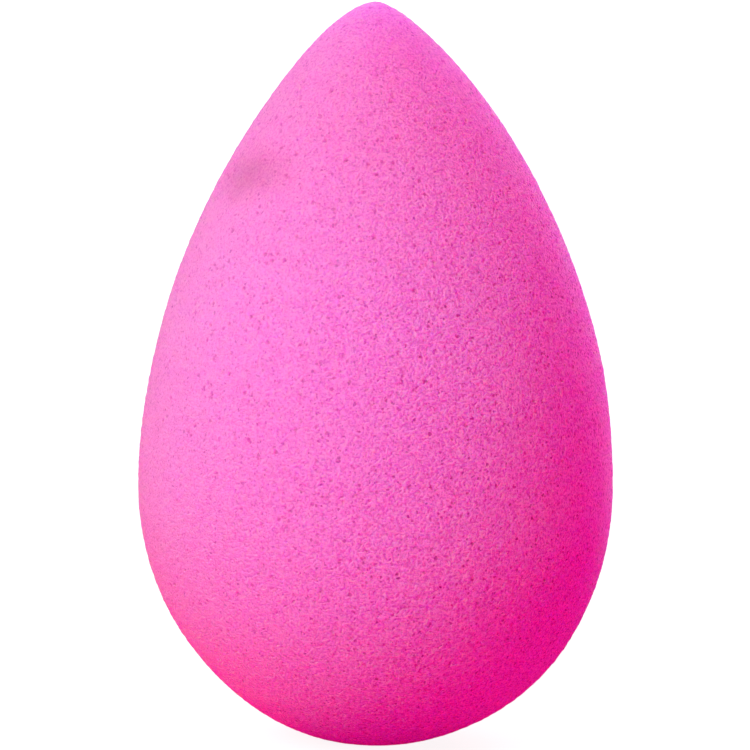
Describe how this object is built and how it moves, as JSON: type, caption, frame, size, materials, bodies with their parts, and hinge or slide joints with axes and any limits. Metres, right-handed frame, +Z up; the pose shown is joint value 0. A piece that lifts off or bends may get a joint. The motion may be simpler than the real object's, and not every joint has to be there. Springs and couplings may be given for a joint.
{
  "type": "makeup sponge",
  "caption": "Teardrop makeup sponge moulded from soft fine-celled foam, with a pointed tip for small places and a broad round end for the cheeks, standing tip up.",
  "frame": {"origin": "middle of the small flat patch that the sponge stands on, on its axis", "axes": "+Z up along the sponge's axis towards the tip; the sponge is round about +Z, and -Y is the side that the picture shows"},
  "size_m": [0.0384, 0.0384, 0.06],
  "materials": {
    "foam": "matte"
  },
  "bodies": {
    "root": {"foam_body": "foam"}
  },
  "joints": []
}
